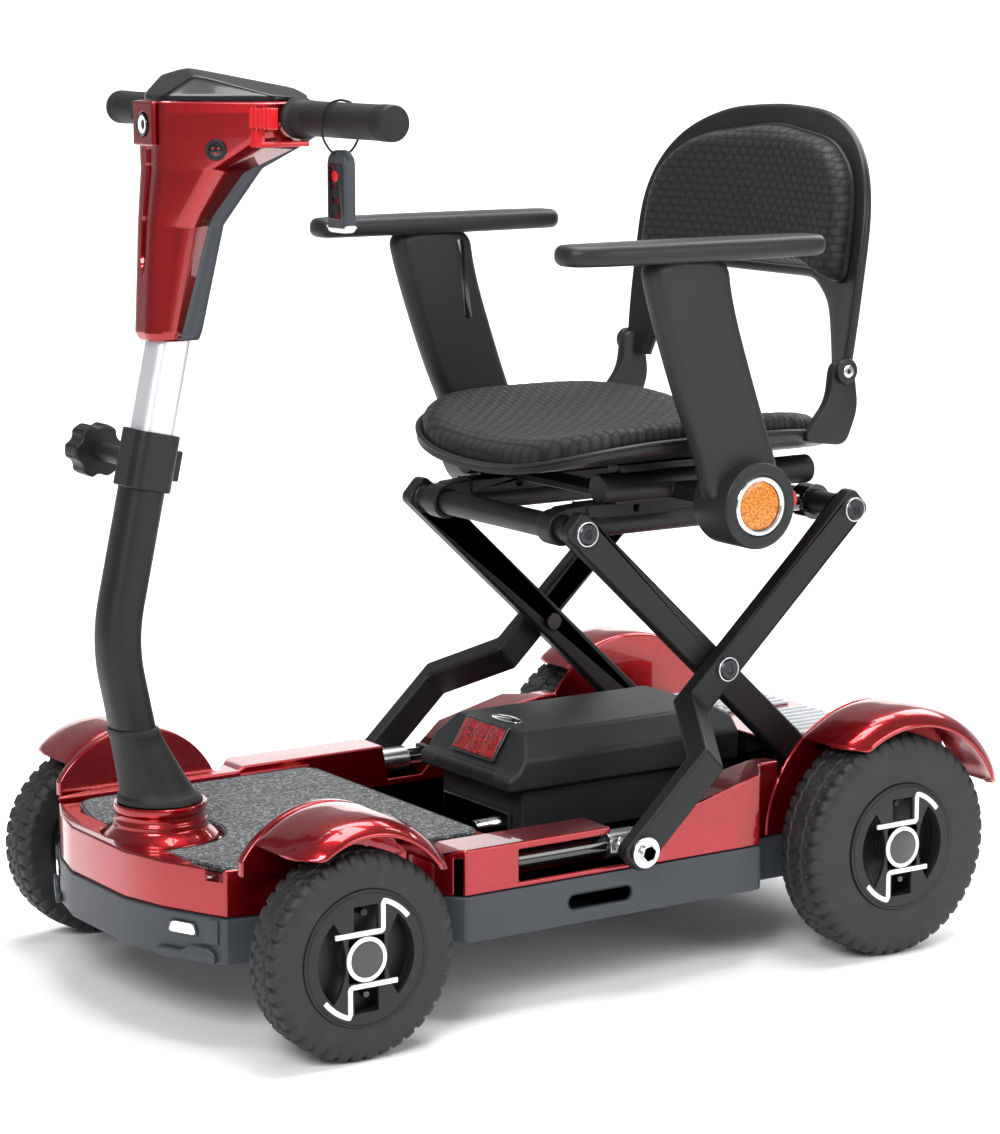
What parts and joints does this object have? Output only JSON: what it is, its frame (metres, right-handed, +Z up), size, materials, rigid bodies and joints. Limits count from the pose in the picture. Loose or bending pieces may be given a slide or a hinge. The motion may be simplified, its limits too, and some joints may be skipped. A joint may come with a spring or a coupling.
{
  "type": "mobility scooter",
  "caption": "Folding four-wheel mobility scooter: steered tiller with finger levers, scissor-lift seat frame with backrest and armrests, lift-out battery, fenders and a carpeted foot deck.",
  "frame": {"origin": "middle of the footprint, on the ground", "axes": "+Z up, the front faces -Y, the rider's left is +X"},
  "size_m": [0.585, 0.917, 0.9115],
  "materials": {
    "red_shell": "metallic candy red, gloss",
    "slate_plastic": "fine-grained, satin",
    "black_plastic": "fine-grained, satin",
    "black_gloss": "gloss",
    "carpet": "loop pile, charcoal and white heather",
    "lamp": "clear over white",
    "black_frame": "matt powder coat",
    "black_steel": "matt paint",
    "rod_steel": "zinc plated",
    "silver_tube": "satin anodised",
    "grey_plastic": "ribbed, satin",
    "soft_rubber": "matt",
    "tyre_rubber": "matt, treaded",
    "weave_vinyl": "basket weave, satin",
    "red_plastic": "gloss",
    "red_reflector": "prismatic",
    "amber_reflector": "prismatic",
    "cord": "woven"
  },
  "bodies": {
    "root": {"chassis_frame": "black_frame", "body_pan": "slate_plastic", "deck_shell": "red_shell", "deck_mat": "carpet", "front_lamps": "lamp", "turret_collar": "red_shell", "front_fenders": "red_shell", "rear_fenders": "red_shell", "guide_rods": "rod_steel", "drive_unit": "black_steel", "step_pads": "grey_plastic", "controller_box": "grey_plastic", "battery_latch": "rod_steel"},
    "battery": {"battery_case": "slate_plastic", "battery_reflector": "red_reflector"},
    "steering": {"steering_column": "black_frame", "gaiter": "soft_rubber"},
    "left_knuckle": {"left_knuckle": "black_steel"},
    "right_knuckle": {"right_knuckle": "black_steel"},
    "tie_rod": {"tie_rod": "rod_steel"},
    "front_left_wheel": {"front_left_tyre": "tyre_rubber", "front_left_rim": "black_plastic"},
    "front_right_wheel": {"front_right_tyre": "tyre_rubber", "front_right_rim": "black_plastic"},
    "rear_left_wheel": {"rear_left_tyre": "tyre_rubber", "rear_left_rim": "black_plastic"},
    "rear_right_wheel": {"rear_right_tyre": "tyre_rubber", "rear_right_rim": "black_plastic"},
    "inner_scissor": {"inner_scissor": "black_frame"},
    "outer_scissor": {"outer_scissor": "black_frame", "pivot_bolts": "rod_steel"},
    "slide_shoes": {"slide_shoes": "rod_steel"},
    "seat_slide_bars": {"seat_slide_bars": "rod_steel"},
    "seat": {"seat_frame": "black_frame", "seat_shell": "black_plastic", "seat_cushion": "weave_vinyl"},
    "release_knob": {"release_knob": "red_plastic"},
    "backrest": {"back_frame": "black_plastic", "back_cushion": "weave_vinyl"},
    "left_armrest": {"left_armrest": "black_plastic", "left_reflector": "amber_reflector"},
    "right_armrest": {"right_armrest": "black_plastic", "right_reflector": "amber_reflector"},
    "tiller": {"tiller_tube": "black_frame", "clamp_collar": "black_frame"},
    "clamp_knob": {"clamp_knob": "black_plastic"},
    "head": {"inner_tube": "silver_tube", "head_cowl": "red_shell", "head_rear_cover": "slate_plastic", "dash_visor": "black_gloss", "nose_panel": "red_shell", "headlight": "lamp", "key_socket": "black_plastic", "handlebar": "rod_steel", "left_grip": "soft_rubber", "right_grip": "soft_rubber", "remote_fob": "black_plastic", "fob_lanyard": "cord"},
    "forward_lever": {"forward_lever": "red_plastic"},
    "reverse_lever": {"reverse_lever": "black_plastic"}
  },
  "joints": [
    {"name": "battery_lift", "type": "slide", "parent": "root", "child": "battery", "axis": [0, 0, -1], "range_m": [-0.14, 0]},
    {"name": "steering", "type": "hinge", "parent": "root", "child": "steering", "pos_m": [0, -0.3885, 0], "axis": [0, 0, 1], "range_deg": [-20, 20]},
    {"name": "left_kingpin", "type": "hinge", "parent": "root", "child": "left_knuckle", "pos_m": [0.208, -0.3265, 0], "axis": [0, 0, 1], "range_deg": [-20, 20]},
    {"name": "right_kingpin", "type": "hinge", "parent": "root", "child": "right_knuckle", "pos_m": [-0.208, -0.3265, 0], "axis": [0, 0, 1], "range_deg": [-20, 20]},
    {"name": "tie_rod_slide", "type": "slide", "parent": "root", "child": "tie_rod", "axis": [1, 0, 0], "range_m": [-0.018, 0.018]},
    {"name": "front_left_axle", "type": "hinge", "parent": "left_knuckle", "child": "front_left_wheel", "pos_m": [0.261, -0.3265, 0.1], "axis": [1, 0, 0], "continuous": true},
    {"name": "front_right_axle", "type": "hinge", "parent": "right_knuckle", "child": "front_right_wheel", "pos_m": [-0.261, -0.3265, 0.1], "axis": [1, 0, 0], "continuous": true},
    {"name": "rear_left_axle", "type": "hinge", "parent": "root", "child": "rear_left_wheel", "pos_m": [0.26, 0.3135, 0.116], "axis": [1, 0, 0], "continuous": true},
    {"name": "rear_right_axle", "type": "hinge", "parent": "root", "child": "rear_right_wheel", "pos_m": [-0.26, 0.3135, 0.116], "axis": [1, 0, 0], "continuous": true},
    {"name": "seat_fold", "type": "hinge", "parent": "root", "child": "inner_scissor", "pos_m": [0, 0.3335, 0.148], "axis": [1, 0, 0], "range_deg": [0, 27]},
    {"name": "scissor_cross", "type": "hinge", "parent": "inner_scissor", "child": "outer_scissor", "pos_m": [0, 0.17114, 0.2994], "axis": [1, 0, 0], "range_deg": [-54, 0]},
    {"name": "shoe_pivot", "type": "hinge", "parent": "outer_scissor", "child": "slide_shoes", "pos_m": [0, 0.00878, 0.148], "axis": [1, 0, 0], "range_deg": [0, 27]},
    {"name": "slide_bar_pivot", "type": "hinge", "parent": "outer_scissor", "child": "seat_slide_bars", "pos_m": [0, 0.3335, 0.45081], "axis": [1, 0, 0], "range_deg": [0, 27]},
    {"name": "seat_pivot", "type": "hinge", "parent": "inner_scissor", "child": "seat", "pos_m": [0, 0.00878, 0.45081], "axis": [1, 0, 0], "range_deg": [-27, 0]},
    {"name": "tiller_fold", "type": "hinge", "parent": "steering", "child": "tiller", "pos_m": [0, -0.40829, 0.23269], "axis": [-1, 0, 0], "range_deg": [0, 35], "deforming": ["gaiter"]},
    {"name": "clamp_turn", "type": "hinge", "parent": "tiller", "child": "clamp_knob", "pos_m": [-0.082, -0.4045, 0.538], "axis": [1, 0, 0], "range_deg": [0, 360]},
    {"name": "tiller_height", "type": "slide", "parent": "tiller", "child": "head", "axis": [0, 0.2164, 0.9763], "range_m": [-0.076, 0.04]},
    {"name": "forward_lever_pull", "type": "hinge", "parent": "head", "child": "forward_lever", "pos_m": [0.058, -0.2805, 0.8385], "axis": [0, 0, 1], "range_deg": [0, 14], "stiffness_Nm_per_rad": 0.6},
    {"name": "reverse_lever_pull", "type": "hinge", "parent": "head", "child": "reverse_lever", "pos_m": [-0.058, -0.2805, 0.8385], "axis": [0, 0, -1], "range_deg": [0, 14], "stiffness_Nm_per_rad": 0.6},
    {"name": "release_pull", "type": "slide", "parent": "seat", "child": "release_knob", "axis": [1, 0, 0], "range_m": [0, 0.008], "stiffness_N_per_m": 600},
    {"name": "backrest_fold", "type": "hinge", "parent": "seat", "child": "backrest", "pos_m": [0, 0.3095, 0.598], "axis": [1, 0, 0], "range_deg": [0, 85]},
    {"name": "left_armrest_flip", "type": "hinge", "parent": "seat", "child": "left_armrest", "pos_m": [0.206, 0.1475, 0.48], "axis": [-1, 0, 0], "range_deg": [0, 74]},
    {"name": "right_armrest_flip", "type": "hinge", "parent": "seat", "child": "right_armrest", "pos_m": [-0.206, 0.1475, 0.48], "axis": [-1, 0, 0], "range_deg": [0, 74]}
  ],
  "couplings": [
    {"joint": "left_kingpin", "follows": "steering", "ratio": 1},
    {"joint": "right_kingpin", "follows": "steering", "ratio": 1},
    {"joint": "tie_rod_slide", "follows": "steering", "m_per_rad": -0.05},
    {"joint": "scissor_cross", "follows": "seat_fold", "ratio": -2},
    {"joint": "shoe_pivot", "follows": "seat_fold", "ratio": 1},
    {"joint": "slide_bar_pivot", "follows": "seat_fold", "ratio": 1},
    {"joint": "seat_pivot", "follows": "seat_fold", "ratio": -1},
    {"joint": "tiller_fold", "follows": "seat_fold", "ratio": 1.2962}
  ]
}
